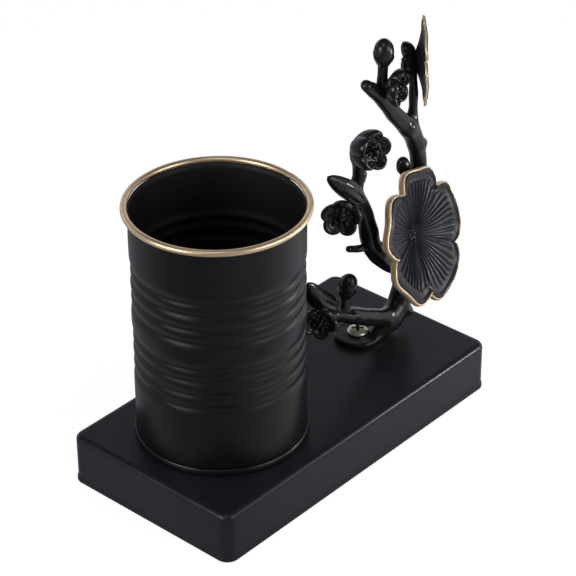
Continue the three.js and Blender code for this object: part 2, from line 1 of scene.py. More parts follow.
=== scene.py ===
# Pen holder: a ribbed steel cup and a cast blossom branch on a pressed steel base.
import math
import bpy
import numpy as np
from mathutils import Matrix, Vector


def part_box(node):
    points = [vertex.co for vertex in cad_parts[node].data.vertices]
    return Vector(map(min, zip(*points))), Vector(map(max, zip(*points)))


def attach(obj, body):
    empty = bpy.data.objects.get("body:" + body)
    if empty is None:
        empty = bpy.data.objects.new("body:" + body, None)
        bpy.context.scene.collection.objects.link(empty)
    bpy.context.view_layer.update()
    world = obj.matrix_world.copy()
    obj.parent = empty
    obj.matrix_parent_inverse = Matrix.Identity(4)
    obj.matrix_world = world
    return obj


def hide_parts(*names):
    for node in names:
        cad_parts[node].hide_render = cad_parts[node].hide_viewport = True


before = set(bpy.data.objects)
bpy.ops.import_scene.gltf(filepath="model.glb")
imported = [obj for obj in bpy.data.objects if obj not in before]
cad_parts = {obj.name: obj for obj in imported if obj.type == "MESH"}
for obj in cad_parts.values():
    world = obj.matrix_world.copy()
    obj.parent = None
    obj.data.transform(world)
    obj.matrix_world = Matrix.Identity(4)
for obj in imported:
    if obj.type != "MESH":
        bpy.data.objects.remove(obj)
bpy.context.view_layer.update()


# Camera: a long lens, a good way off to the left and above, looking down on the front corner.
# Lengths are mostly written in millimetres, and MM turns them into metres.
MM = 0.001
VIEW_YAW, VIEW_PITCH, VIEW_ROLL = -0.8452, 0.5632, -0.0057
VIEW_PLACE = np.array([-627.93, -559.05, 605.54]) * MM
FOCAL_PIXELS, FRAME_PIXELS, SENSOR = 2341.2, 576, 36.0

camera_data = bpy.data.cameras.new("camera")
camera_data.sensor_width = SENSOR
camera_data.lens = FOCAL_PIXELS / FRAME_PIXELS * SENSOR
camera_data.clip_start, camera_data.clip_end = 0.05, 20
camera = bpy.data.objects.new("camera", camera_data)
bpy.context.scene.collection.objects.link(camera)
bpy.context.scene.camera = camera

back = np.array([math.sin(VIEW_YAW) * math.cos(VIEW_PITCH),
                 -math.cos(VIEW_YAW) * math.cos(VIEW_PITCH), math.sin(VIEW_PITCH)])
level = np.array([math.cos(VIEW_YAW), math.sin(VIEW_YAW), 0.0])
rise = np.cross(back, level)
right = math.cos(VIEW_ROLL) * level + math.sin(VIEW_ROLL) * rise
up = -math.sin(VIEW_ROLL) * level + math.cos(VIEW_ROLL) * rise
pose = np.eye(4)
pose[:3, :3] = np.stack([right, up, back], axis=1)
pose[:3, 3] = VIEW_PLACE
camera.matrix_world = Matrix(pose.tolist())


# Studio: a white sweep under the part, and four soft boxes. Sweep and surroundings are white to
# the camera. In gloss they are dimmer, above all overhead and on the camera's side, so that black
# paint stays black. The sweep keeps the part's own soft shadow.
class Value:
    """One socket, so that sums and products of sockets read as plain arithmetic."""

    def __init__(self, finish, socket):
        self.finish, self.socket = finish, socket

    def __add__(self, other):
        return self.finish.maths("ADD", self, other)

    def __sub__(self, other):
        return self.finish.maths("SUBTRACT", self, other)

    def __rsub__(self, other):
        return self.finish.maths("SUBTRACT", other, self)

    def __mul__(self, other):
        return self.finish.maths("MULTIPLY", self, other)

    __radd__, __rmul__ = __add__, __mul__


class Finish:
    """The node tree of a material or of the world. Its node method makes any node."""

    def __init__(self, owner):
        owner.use_nodes = True
        self.owner, self.tree = owner, owner.node_tree
        self.tree.nodes.clear()

    def node(self, kind, settings=None, inputs=None, output=0):
        """Makes a node, applies its settings, then sets or links its inputs by name or number.
        Gives back one of its outputs, where it has any."""
        made = self.tree.nodes.new(kind)
        for key, value in (settings or {}).items():
            if key == "stops":
                ramp = made.color_ramp
                while len(ramp.elements) < len(value):
                    ramp.elements.new(0.5)
                for element, (place, color) in zip(ramp.elements, value):
                    element.position, element.color = place, (*color, 1)
            else:
                setattr(made, key, value)
        for key, value in (inputs or {}).items():
            if isinstance(value, Value):
                self.tree.links.new(value.socket, made.inputs[key])
            else:
                made.inputs[key].default_value = value
        return Value(self, made.outputs[output]) if len(made.outputs) else None

    def maths(self, operation, first, second):
        """One operation on two numbers, either of which may be a socket."""
        return self.node("ShaderNodeMath", {"operation": operation}, {0: first, 1: second})

    def clamped(self, value):
        """A value kept between 0 and 1."""
        return self.node("ShaderNodeMath", {"operation": "ADD", "use_clamp": True}, {0: value, 1: 0.0})

    def ranged(self, value, low, high, first=0, last=1):
        """Goes evenly from first to last as a value goes from low to high, and no further."""
        return self.node("ShaderNodeMapRange", {}, {0: value, 1: low, 2: high, 3: first, 4: last})

    def along(self, vector, direction):
        """How far a vector reaches along a direction: their dot product."""
        return self.node("ShaderNodeVectorMath", {"operation": "DOT_PRODUCT"},
                         {0: vector, 1: direction}, "Value")

    def rays(self, kind):
        """1 for rays of one kind, and 0 for the others."""
        return self.node("ShaderNodeLightPath", output=f"Is {kind} Ray")

    def marked(self, name):
        """A number that the mesh keeps at each of its points."""
        return self.node("ShaderNodeAttribute", {"attribute_name": name}, output="Fac")

    def place(self):
        """Where a point is on the object, in metres."""
        return self.node("ShaderNodeTexCoord", output="Object")

    def noise(self, scale, detail=3.0, roughness=0.5):
        """Soft random variation from 0 to 1, with features about 1/scale metres wide."""
        return self.node("ShaderNodeTexNoise", {}, {"Vector": self.place(), "Scale": scale,
                                                    "Detail": detail, "Roughness": roughness})

    def mixed(self, share, first, second):
        """A colour between two colours."""
        return self.node("ShaderNodeMix", {"data_type": "RGBA"}, {0: share, 6: first, 7: second}, 2)

    def bump(self, height, distance, over=None):
        """Relief of a height from 0 to 1 times a distance in metres, over other relief if given."""
        inputs = {"Height": height, "Distance": distance}
        if over:
            inputs["Normal"] = over
        return self.node("ShaderNodeBump", {}, inputs)

    def surface(self, **inputs):
        """Ends a material with one Principled shader and returns the material."""
        shader = self.node("ShaderNodeBsdfPrincipled", {}, {
            key.replace("_", " "): value for key, value in inputs.items()})
        self.node("ShaderNodeOutputMaterial", {}, {"Surface": shader})
        return self.owner


def lamp(name, place, size, power, target=(0, 0, 0.06)):
    """A square soft box of the given width in metres, aimed at a point, else at the part's middle."""
    data = bpy.data.lights.new(name, "AREA")
    data.shape, data.size, data.energy = "SQUARE", size, power
    box = bpy.data.objects.new(name, data)
    bpy.context.scene.collection.objects.link(box)
    away = np.array(place) - np.array(target)
    away = away / np.linalg.norm(away)
    side = np.cross([0, 0, 1], away)
    side = side / np.linalg.norm(side)
    turn = np.eye(4)
    turn[:3, :3] = np.stack([side, np.cross(away, side), away], axis=1)
    turn[:3, 3] = place
    box.matrix_world = Matrix(turn.tolist())


lamp("high_box", (-0.5, -0.3, 1.15), 0.5, 1.5)
lamp("left_box", (-1.0, 0.17, 0.42), 0.55, 5.5)
lamp("right_box", (0.22, -1.08, 0.45), 0.6, 4.6)
lamp("flower_box", (0.28, -0.27, 0.11), 0.05, 0.5, (0.03, -0.03, 0.08))

UPWARD, CAMERA_SIDE, CAMERA_RIGHT = (0, 0, 1), (-0.75, -0.66, 0), (0.66, -0.75, 0)
WHITE, COOL = (1, 1, 1, 1), (0.9, 0.93, 1, 1)
MATT_LIGHT, SWEEP_GLOW, SWEEP_REACH = 0.35, 0.85, 6

bpy.context.scene.view_settings.view_transform = "Standard"
world = bpy.data.worlds.new("studio")
bpy.context.scene.world = world
air = Finish(world)
outward = air.node("ShaderNodeTexCoord", output="Generated")
ceiling = air.ranged(air.along(outward, UPWARD), 0.35, 0.63, 0.85, 0.06)
dim = air.ranged(air.along(outward, CAMERA_SIDE), -0.55, -0.1, 1, 0.12)
glossy = air.rays("Glossy")
seen = air.clamped(air.rays("Camera") + air.rays("Transmission"))
strength = seen + (1 - seen) * (glossy * ceiling * dim + (1 - glossy) * MATT_LIGHT)
background = air.node("ShaderNodeBackground", {}, {"Color": air.mixed(seen, COOL, WHITE),
                                                   "Strength": strength})
air.node("ShaderNodeOutputWorld", {}, {"Surface": background})

sweep = Finish(bpy.data.materials.new("sweep"))
paper = sweep.node("ShaderNodeBsdfDiffuse", {}, {"Color": (0.8, 0.8, 0.8, 1)})
mirrored = sweep.rays("Glossy")
slope = sweep.ranged(sweep.along(sweep.place(), CAMERA_RIGHT), -0.1, 0.12, 0.8, 0.5)
shade = sweep.ranged(sweep.along(sweep.place(), CAMERA_SIDE), 0.07, 0.12, 0, 0.25)
glow = sweep.node("ShaderNodeEmission", {}, {"Color": sweep.mixed(mirrored, WHITE, COOL),
                                             "Strength": 1.1 - mirrored * (slope + shade)})
visible = sweep.clamped(sweep.rays("Camera") + mirrored + sweep.rays("Transmission"))
blend = sweep.node("ShaderNodeMixShader", {}, {0: visible * SWEEP_GLOW, 1: paper, 2: glow})
sweep.node("ShaderNodeOutputMaterial", {}, {"Surface": blend})
floor_mesh = bpy.data.meshes.new("floor")
floor_mesh.from_pydata([(x * SWEEP_REACH, y * SWEEP_REACH, 0)
                        for x, y in ((-1, -1), (1, -1), (1, 1), (-1, 1))], [], [(0, 1, 2, 3)])
floor_mesh.materials.append(sweep.owner)
floor = bpy.data.objects.new("floor", floor_mesh)
bpy.context.scene.collection.objects.link(floor)


# Base shell: a tray pressed from steel sheet and painted satin black. Its corners and its top
# edge are rounded, and its rim is turned out into a narrow hem.
CORNER_STEPS, SHARPEST = 14, 0.02


def grid(*parts):
    """Joins coordinates, or the corners of faces, into one array, each spread to the full shape."""
    return np.stack(np.broadcast_arrays(*parts), -1)


def ringed(rows, loop=False):
    """A surface of rows[i, j], i along the piece and j around it, as quads (i, j), (i, j+1),
    (i+1, j+1), (i+1, j). Unless the rows loop back, each end closes on its mean point."""
    count, around = rows.shape[:2]
    i = np.arange(count if loop else count - 1)[:, None]
    j = np.arange(around)[None, :]
    beside, after = (j + 1) % around, (i + 1) % count
    quads = grid(i * around + j, i * around + beside, after * around + beside, after * around + j)
    points, faces = rows.reshape(-1, 3), [quads.reshape(-1, 4)]
    if not loop:
        pole, last = count * around, (count - 1) * around
        points = np.vstack([points, rows[0].mean(0), rows[-1].mean(0)])
        faces += [grid(pole, beside[0], j[0]), grid(pole + 1, last + j[0], last + beside[0])]
    return points, faces


def gathered(shells):
    """All points of some shells, one shell after another, and their faces renumbered to match."""
    faces, start = [], 0
    for points, blocks in shells:
        for block in blocks:
            faces += (block + start).tolist()
        start += len(points)
    return np.vstack([points for points, blocks in shells]), faces


def piece(name, shells, material, slot, *nodes):
    """Makes one object from closed shells in millimetres, riding on the body, in place of nodes."""
    points, faces = gathered(shells)
    mesh = bpy.data.meshes.new(name)
    mesh.from_pydata((points * MM).tolist(), [], faces)
    mesh.shade_smooth()
    mesh.materials.append(material)
    made = bpy.data.objects.new(name, mesh)
    bpy.context.scene.collection.objects.link(made)
    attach(made, "root")
    if nodes:
        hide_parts(*nodes)
    return made


def mark(made, name, values):
    """Keeps a number at each point of a piece, for its material."""
    made.data.attributes.new(name, "FLOAT", "POINT").data.foreach_set("value", values)


def box_of(node):
    """The lowest and the highest corner of a frame node, in millimetres."""
    low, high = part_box(node)
    return np.array(low) / MM, np.array(high) / MM


def arc(centre, radius, start, end, steps):
    """Points centre + radius * (cos a, sin a), a running from start to end in degrees."""
    angle = np.radians(np.linspace(start, end, steps))
    return grid(centre[0] + radius * np.cos(angle), centre[1] + radius * np.sin(angle))


def rounded_rows(length, width, radius, profile):
    """Rings of a rounded rectangle, one for each [outward offset, height] of the profile:
    corner middle + (radius + offset) * (cos a, sin a), a running through each quarter. Where the
    offset uses up the radius, the middle moves in instead."""
    angle = (np.arange(4)[:, None] + np.linspace(0, 1, CORNER_STEPS)[None, :]) * np.pi / 2
    middle = np.array([[1, 1], [-1, 1], [-1, -1], [1, -1]]) * [length / 2 - radius, width / 2 - radius]
    reach = np.maximum(radius + profile[:, 0], SHARPEST)
    inward = np.minimum(radius + profile[:, 0] - SHARPEST, 0)
    ring = reach[:, None, None, None] * grid(np.cos(angle), np.sin(angle))
    corner = middle + inward[:, None, None] * np.sign(middle)
    flat = (corner[:, :, None, :] + ring).reshape(len(profile), -1, 2)
    return grid(flat[..., 0], flat[..., 1], profile[:, 1, None])


def enamel(name, color, sheen, roughness, spread, peel, grain, specular, coat=0.0, lump=0.0):
    """Baked black paint: a faint mottle of colour and gloss, and a fine orange-peel bump over any
    lumps of the metal, peel and lump being their heights in millimetres. The inside of a can is
    sprayed duller."""
    paint = Finish(bpy.data.materials.new(name))
    cloud = paint.noise(60, 4)
    fine = paint.noise(grain, 3)
    dust = paint.ranged(paint.noise(350, 5, 0.7), 0.55, 0.8)
    inside = paint.marked("inside")
    tone = paint.mixed(inside, paint.mixed(cloud, (*color, 1), (*sheen, 1)), (0.003, 0.003, 0.003, 1))
    gloss = roughness + (cloud - 0.5) * spread + dust * spread * 0.5 + inside * 0.3
    lumps = paint.bump(paint.noise(150, 2), lump * MM) if lump else None
    return paint.surface(Base_Color=tone, Roughness=gloss, Specular_IOR_Level=specular,
                         Coat_Weight=coat, Coat_Roughness=0.08,
                         Normal=paint.bump(fine, peel * MM, lumps))


base_low, base_high = box_of("base_shell")
HEM, SHEET, EDGE_RADIUS, CORNER_RADIUS = 0.5, 1.0, 2.5, 5.0
BASE_LENGTH, BASE_WIDTH = (base_high - base_low)[:2] - 2 * HEM
BASE_TOP, BASE_FOOT = base_high[2], base_low[2]
NEAR_MIDDLE = -44
satin_steel = enamel("satin_black_steel_paint", (0.0085, 0.0085, 0.011), (0.012, 0.012, 0.0155),
                     0.33, 0.08, 0.012, 1500, 0.32)
top = BASE_TOP - EDGE_RADIUS
shell_profile = np.vstack([
    [[NEAR_MIDDLE, BASE_TOP - SHEET], [-5, BASE_TOP - SHEET]],
    arc((-EDGE_RADIUS, top), EDGE_RADIUS - SHEET, 90, 0, 7),
    [[-SHEET, BASE_FOOT + 3], [-SHEET + HEM, BASE_FOOT + 1.4], [-SHEET + HEM, BASE_FOOT + 0.1]],
    arc((-SHEET / 2 + HEM, BASE_FOOT + 0.12), SHEET / 2, 190, 350, 7),
    [[HEM, BASE_FOOT + 0.2], [HEM, BASE_FOOT + 1.1], [HEM * 0.93, BASE_FOOT + 1.5],
     [HEM * 0.5, BASE_FOOT + 2], [HEM * 0.07, BASE_FOOT + 2.6], [0, BASE_FOOT + 3.1], [0, top - 0.6]],
    arc((-EDGE_RADIUS, top), EDGE_RADIUS, 0, 90, 12),
    [[-EDGE_RADIUS - 0.6, BASE_TOP], [-8, BASE_TOP], [NEAR_MIDDLE, BASE_TOP]],
])
shell_profile[:, 1] = np.maximum(shell_profile[:, 1], BASE_FOOT)
piece("tray_shell", [ringed(rounded_rows(BASE_LENGTH, BASE_WIDTH, CORNER_RADIUS, shell_profile))],
      satin_steel, "satin_black_steel", "base_shell")


# Core and pad: raw fibreboard inside the tray, and black foam rubber under it. Both are plain
# cut blocks that the frame already holds, so they only get their finish here.
def finish_node(node, material):
    """Gives a frame node's own object a new material."""
    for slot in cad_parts[node].material_slots:
        slot.material = material


wood = Finish(bpy.data.materials.new("fibreboard"))
grain = wood.noise(700, 6, 0.7)
speck = wood.noise(160, 3)
wood_color = wood.mixed(grain * 0.7 + speck * 0.3, (0.3, 0.19, 0.1, 1), (0.52, 0.37, 0.21, 1))
finish_node("base_core", wood.surface(Base_Color=wood_color, Roughness=0.75 + grain * 0.2,
                                      Normal=wood.bump(grain, 0.1 * MM)))
sponge = Finish(bpy.data.materials.new("foam_rubber"))
pores = sponge.node("ShaderNodeTexVoronoi", {}, {"Vector": sponge.place(), "Scale": 1400})
finish_node("base_pad", sponge.surface(
    Base_Color=sponge.mixed(pores, (0.006, 0.006, 0.006, 1), (0.022, 0.022, 0.023, 1)),
    Roughness=0.8 + pores * 0.15, Normal=sponge.bump(pores, 0.15 * MM)))


# Cup wall: a tin-plate can body, beaded in two groups and painted satin black, duller inside.
# The side seam is a narrow welded strip that faces the branch.
AROUND = 192
SEAM_ANGLE = math.radians(-11)
SEAM_HEIGHT, SEAM_HALF_WIDTH = 0.12, 1.0
CAN_SHEET = 0.5
cup_low, cup_high = box_of("cup_wall")
CUP_MIDDLE = (cup_low + cup_high)[:2] / 2
CUP_RADIUS = (cup_high - cup_low)[0] / 2
BEAD_VALLEYS = np.array([33.0, 39.5, 46.1, 51.9, 64.6, 70.8, 77.7, 83.2])
BEAD_DEPTH, BEAD_HALF_WIDTH = 1.05, 1.95


def circle(steps):
    """Angles evenly round a full turn, in radians."""
    return np.linspace(0, 2 * np.pi, steps, endpoint=False)


def turned(profile, around, middle=(0, 0), swell=0.0):
    """Turns (radius, height) about an upright axis: x = r cos a, y = r sin a from the middle. The
    swell, one number for each angle, is added to the radius."""
    angle = circle(around)
    radius = profile[:, 0, None] + swell
    return grid(middle[0] + radius * np.cos(angle), middle[1] + radius * np.sin(angle),
                profile[:, 1, None])


def beaded(heights):
    """How far the wall dips in: depth * sum of exp(-|(z - valley) / half width|^1.6)."""
    away = np.abs(heights[:, None] - BEAD_VALLEYS) / BEAD_HALF_WIDTH
    return BEAD_DEPTH * np.exp(-away ** 1.6).sum(1)


def weld(angle):
    """How far the side seam stands out: height * exp(-(way round / half width)^4)."""
    away = np.angle(np.exp(1j * (angle - SEAM_ANGLE))) * CUP_RADIUS
    return SEAM_HEIGHT * np.exp(-(away / SEAM_HALF_WIDTH) ** 4)


wall_low, wall_high = cup_low[2] - BASE_TOP, cup_high[2] - BASE_TOP
can_enamel = enamel("satin_black_can_enamel", (0.003, 0.003, 0.004), (0.0045, 0.0045, 0.006),
                    0.33, 0.06, 0.012, 1500, 0.37)
rows_at = np.concatenate([np.linspace(wall_low, 27, 8), np.linspace(28, 87, 78),
                          np.linspace(88, wall_high, 8)])
outer = grid(CUP_RADIUS - beaded(rows_at), rows_at + BASE_TOP)
inner = outer - [CAN_SHEET, 0]
wall_rows = turned(np.vstack([outer, inner[::-1]]), AROUND, CUP_MIDDLE, weld(circle(AROUND)))
can = piece("can_wall", [ringed(wall_rows, loop=True)], can_enamel, "satin_black_steel", "cup_wall")
mark(can, "inside", np.repeat([0.0, 1.0], len(rows_at) * AROUND))


# Rim: the wall's top edge, curled outwards and finished in gold. The roll steps in a little at
# the side seam, where the two ends of the sheet overlap.
def golden(name, wear, metal):
    """Satin gold paint over metal: brushed fine, a little browner and duller where the paint is rubbed.
    """
    paint = Finish(bpy.data.materials.new(name))
    mottle = paint.ranged(paint.noise(240, 4, 0.6), 0.4, 0.72)
    tone = paint.mixed(mottle * wear, (0.88, 0.66, 0.43, 1), (0.58, 0.38, 0.21, 1))
    return paint.surface(Base_Color=tone, Metallic=metal,
                         Roughness=0.48 - metal * 0.17 + mottle * 0.12,
                         Normal=paint.bump(paint.noise(2200, 3), 0.0015 * MM))


rim_low, rim_high = box_of("cup_rim")
RIM_RADIUS = (rim_high - rim_low)[0] / 2
ROLL = (RIM_RADIUS - CUP_RADIUS + CAN_SHEET) / 2 * 0.84
ROLL_MIDDLE = (RIM_RADIUS - ROLL - 0.2, rim_high[2] - ROLL)
OVERLAP = 0.28


def overlap(angle):
    """How far the roll steps in at the seam, easing back over the next 25 degrees: with a, the
    angle past the seam, overlap * exp(-a / 0.2) / (1 + exp((0.012 - a) / 0.004))."""
    past = np.mod(angle - SEAM_ANGLE, 2 * np.pi)
    return OVERLAP * np.exp(-past / 0.2) / (1 + np.exp(-(past - 0.012) / 0.004))


roll_outer = arc(ROLL_MIDDLE, ROLL, 180, -99, 28)
roll_inner = arc(ROLL_MIDDLE, ROLL - CAN_SHEET, -99, 180, 28)
rim_rows = turned(np.vstack([roll_outer[::-1], roll_inner[::-1]]), AROUND, CUP_MIDDLE,
                  -overlap(circle(AROUND)))
piece("gold_rim", [ringed(rim_rows, loop=True)], golden("gold_rim_paint", 0.35, 0.85),
      "gold", "cup_rim")


# Cup bottom: the pressed end. Its edge is folded over the wall in a rounded double seam, and
# its raised panel dips in the middle to take the screw.
end_low, end_high = box_of("cup_bottom")
END_RADIUS = (end_high - end_low)[0] / 2
LIFT = end_low[2]
end_profile = np.vstack([
    [[2.4, LIFT], [7.2, LIFT]], arc((8, LIFT + 1), 1, 270, 315, 4),
    arc((11.6, LIFT + 3), 1, 135, 90, 4), [[30, LIFT + 4], [33, LIFT + 4]],
    arc((34.4, LIFT + 3), 0.9, 90, 10, 5), arc((36.2, LIFT + 0.9), 0.9, 190, 270, 6),
    arc((END_RADIUS - 0.9, LIFT + 0.9), 0.9, 270, 360, 7),
    [[END_RADIUS, LIFT + 1.5]],
    arc((0, 0), 1, 0, 90, 8) * [END_RADIUS - CUP_RADIUS - 0.1, 1.5] + [CUP_RADIUS + 0.1, LIFT + 1.6],
    [[CUP_RADIUS + 0.1, LIFT + 1], [CUP_RADIUS + 0.05, LIFT + 0.55], [CUP_RADIUS - 0.7, LIFT + 0.55],
     [35.4, LIFT + 1], [35.35, LIFT + 4.2], [34.9, LIFT + 4.5], [30, LIFT + 4.5]],
    [[27, LIFT + 4.5], [26, LIFT + 4.9], [25, LIFT + 4.5], [18, LIFT + 4.5], [17, LIFT + 4.9],
     [16, LIFT + 4.5]],
    arc((11.4, LIFT + 3.5), 1, 90, 135, 4), arc((8.1, LIFT + 1.2), 0.7, 315, 270, 4),
    [[7, LIFT + 0.5], [2.4, LIFT + 0.5]],
])
piece("can_end", [ringed(turned(end_profile, AROUND, CUP_MIDDLE), loop=True)],
      can_enamel, "satin_black_steel", "cup_bottom")


# Fasteners: pan-head machine screws with a cross recess, with their washers and nuts, all in
# yellow zinc plate. The plating shifts between straw, green and pink.
HEAD_WALL, DOME_HEIGHT = 0.7, 1.5
CROSS_TURN, CROSS_DEPTH, CROSS_REACH, ARM_HALF_WIDTH = 0.85, 1.5, 0.66, 0.85
plate = Finish(bpy.data.materials.new("yellow_zinc_plate"))
PLATING = [(0.3, (0.66, 0.62, 0.46)), (0.45, (0.74, 0.64, 0.42)),
           (0.58, (0.48, 0.66, 0.56)), (0.7, (0.74, 0.5, 0.46))]
film = plate.node("ShaderNodeValToRGB", {"stops": PLATING}, {0: plate.noise(420, 3, 0.6)})
scuff = plate.noise(2500, 3, 0.6)
# The cross recess, marked "recess", is painted near black: painted shade in the recess.
zinc_plate = plate.surface(Base_Color=plate.mixed(plate.marked("recess"), film, (0.02, 0.02, 0.018, 1)),
                           Metallic=0.75, Roughness=0.2 + scuff * 0.14,
                           Normal=plate.bump(scuff, 0.01 * MM))


def pan_screw(name, node, shank):
    """A dome z = wall + h (1 - (r/R)^3.2)^0.75 with a cross cut into it: the depth falls with the
    distance from each arm's middle line and with the radius. A plain shank runs down below."""
    low, high = box_of(node)
    middle, head = (low + high)[:2] / 2, (high - low)[0] / 2
    seat = high[2] - (HEAD_WALL + DOME_HEIGHT)
    angle = circle(160)
    share = np.linspace(1, 0.02, 44)[:, None]
    radius = head * share
    dome = HEAD_WALL + DOME_HEIGHT * (1 - share ** 3.2) ** 0.75
    arm = radius * np.minimum(np.abs(np.cos(angle + CROSS_TURN)), np.abs(np.sin(angle + CROSS_TURN)))
    cut = (CROSS_DEPTH * np.clip((ARM_HALF_WIDTH - arm) / 0.35, 0, 1)
           * np.clip((head * CROSS_REACH - radius) / 0.7, 0, 1))
    over = grid(middle[0] + radius * np.cos(angle), middle[1] + radius * np.sin(angle),
                seat + dome - cut)
    under = turned(np.array([[shank * 0.6, low[2]], [shank, low[2] + 0.6], [shank, seat - 0.1],
                             [shank, seat], [head - 0.25, seat], [head, seat + 0.25]]),
                   len(angle), middle)
    screw = piece(name, [ringed(np.concatenate([under, over]))], zinc_plate, "yellow_zinc", node)
    # Marks the cross recess for the painted shade of the zinc plate's near-black colour.
    depth = np.zeros(len(screw.data.vertices))
    depth[len(under) * len(angle):-2] = np.clip(cut / 0.8, 0, 1).ravel()
    mark(screw, "recess", depth)


pan_screw("cup_pan_screw", "cup_screw", 2.0)
pan_screw("foot_pan_screw", "branch_screw", 2.5)
for hidden in ("cup_washer", "cup_nut", "branch_washer", "branch_nut"):
    finish_node(hidden, zinc_plate)


# Branch: one zinc casting in gloss black, with its trunk, crown, stem, bough and twig growing
# into each other, and a round foot for its screw. Every place on it is in millimetres from the
# middle of the foot, on the top of the base, and each limb's stations are [x, y, z, radius].
foot_low, foot_high = box_of("branch_screw")
FOOT = np.array([*(foot_low + foot_high)[:2] / 2, BASE_TOP])
FOOT_RADIUS, FOOT_LOW, FOOT_HIGH, FOOT_EDGE = 10.6, 0.3, 2.5, 0.5
MELT, VOXEL, PULLS, UNEVEN = 0.9, 0.6, 4, 0.22
limbs = {
    "trunk and crown": [
        [4.5, -7.5, 2.5, 3.5], [8.5, -8, 5, 4.8], [13, -8.5, 7.5, 5.4], [18.5, -8.5, 13, 5.2],
        [21, -8.5, 21, 4.6], [21.8, -8.5, 33, 4.3], [23.5, -8, 46, 4.1], [27.5, -7.5, 58.5, 3.8],
        [31.2, -7, 69, 3.8], [31.8, -7, 79.5, 3.7], [29.7, -7.5, 87.5, 3.7], [25.8, -8, 96, 4.2],
        [19.6, -8.5, 103.5, 4], [12.8, -8.5, 110.8, 3.7], [7.5, -8.5, 117.5, 3.4],
        [2.2, -8.5, 123.8, 3.3], [-2.4, -8.5, 128.4, 3.1], [-6.2, -8.5, 131.8, 2.7]],
    "stem": [
        [23.5, -8.2, 99.5, 3.2], [25, -8.5, 108, 2.2], [25, -8.5, 118.5, 1.9],
        [23.9, -8.5, 126.5, 2.1], [22.9, -8.7, 132.5, 2]],
    "crown knot": [[20.9, -10.2, 101.2, 2.6], [20.5, -11.2, 102.6, 1.9]],
    "trunk knot": [[29.5, -8.5, 89, 2.6], [31.8, -8.8, 89.6, 1.9]],
    "twig knot": [[-16.6, -10, 23.6, 2.6], [-18.1, -12, 24.6, 1.7]],
    "bough knot": [[2, -9.5, 47, 3.4], [3.6, -10.5, 49.5, 2.2]],
    "low trunk knot": [[20, -9, 9, 4.4], [21.8, -10.5, 8, 3]],
    "stem boss": [[22.6, -8.4, 132.9, 2.1], [23.1, -9, 132.9, 2.1]],
    "spur": [[24, -8, 48, 3.6], [19.5, -10.5, 50, 3.4], [15, -14, 52.3, 3]],
    "bough": [
        [21, -8.5, 29.5, 3.4], [12, -8.8, 36, 3.8], [4, -9, 44, 4.2], [-2.5, -9.3, 53, 4.4],
        [-5, -9.5, 61.5, 4.1], [-8, -9.5, 71.5, 3.7], [-12.4, -9.5, 81.5, 3.2],
        [-13.3, -9.5, 87, 3], [-11.8, -9.7, 92.5, 2.9]],
    "twig": [
        [14, -8.5, 8, 4.6], [4.5, -9, 12, 3.9], [-6, -9.5, 17.5, 3.8], [-15.5, -9.5, 23, 3.8],
        [-22.5, -9.5, 27, 3.4], [-28, -9.8, 29.5, 2.9]],
}


def curved(stations, steps=6):
    """A Catmull-Rom line through stations a, b, c, d: half of
    2b + (c - a) t + (2a - 5b + 4c - d) t^2 + (3b - a - 3c + d) t^3 between b and c."""
    given = np.array(stations, float)
    padded = np.vstack([2 * given[0] - given[1], given, 2 * given[-1] - given[-2]])
    a, b, c, d = padded[:-3], padded[1:-2], padded[2:-1], padded[3:]
    t = np.linspace(0, 1, steps, endpoint=False)[:, None, None]
    between = 0.5 * (2 * b + (c - a) * t + (2 * a - 5 * b + 4 * c - d) * t ** 2
                     + (3 * b - a - 3 * c + d) * t ** 3)
    return np.vstack([between.transpose(1, 0, 2).reshape(-1, given.shape[1]), given[-1]])


def unit(vectors):
    """Vectors divided by their lengths."""
    return vectors / np.maximum(np.linalg.norm(vectors, axis=-1, keepdims=True), 1e-9)


def tube(stations, around=20, steps=6):
    """Rings of radius r square to a curved line, and rings of r cos b, moved on by r sin b, that
    round both ends."""
    line = curved(stations, steps)
    middle, radius = line[:, :3], line[:, 3]
    along = unit(np.gradient(middle, axis=0))
    tilt = np.radians([75, 50, 25])
    middle = np.vstack([middle[0] - along[0] * radius[0] * np.sin(tilt)[:, None], middle,
                        middle[-1] + along[-1] * radius[-1] * np.sin(tilt)[::-1, None]])
    radius = np.concatenate([radius[0] * np.cos(tilt), radius, radius[-1] * np.cos(tilt)[::-1]])
    along = np.vstack([np.repeat(along[:1], 3, 0), along, np.repeat(along[-1:], 3, 0)])
    side = unit(np.cross([0.05, 1, 0.02], along))
    other = np.cross(along, side)
    angle = circle(around)[None, :, None]
    return ringed(middle[:, None] + radius[:, None, None]
                  * (side[:, None] * np.cos(angle) + other[:, None] * np.sin(angle)))


def placed(shell, *, at=(0, 0, 0), facing=(0, 0, 1), spin=0.0):
    """Turns a shell's +Z to a direction by the shortest way, after a spin about +Z, and moves it
    to a place on the branch. The turn is Rodrigues' formula about z x direction."""
    points, faces = shell
    z, aim = np.array([0.0, 0, 1]), unit(np.array(facing, float))
    axis, cosine = np.cross(z, aim), aim[2]
    skew = np.array([[0, -axis[2], axis[1]], [axis[2], 0, -axis[0]], [-axis[1], axis[0], 0]])
    turn = np.eye(3) + skew + skew @ skew / (1 + cosine)
    c, s = math.cos(spin), math.sin(spin)
    turn = turn @ np.array([[c, -s, 0], [s, c, 0], [0, 0, 1]])
    return points @ turn.T + np.array(at) + FOOT, faces


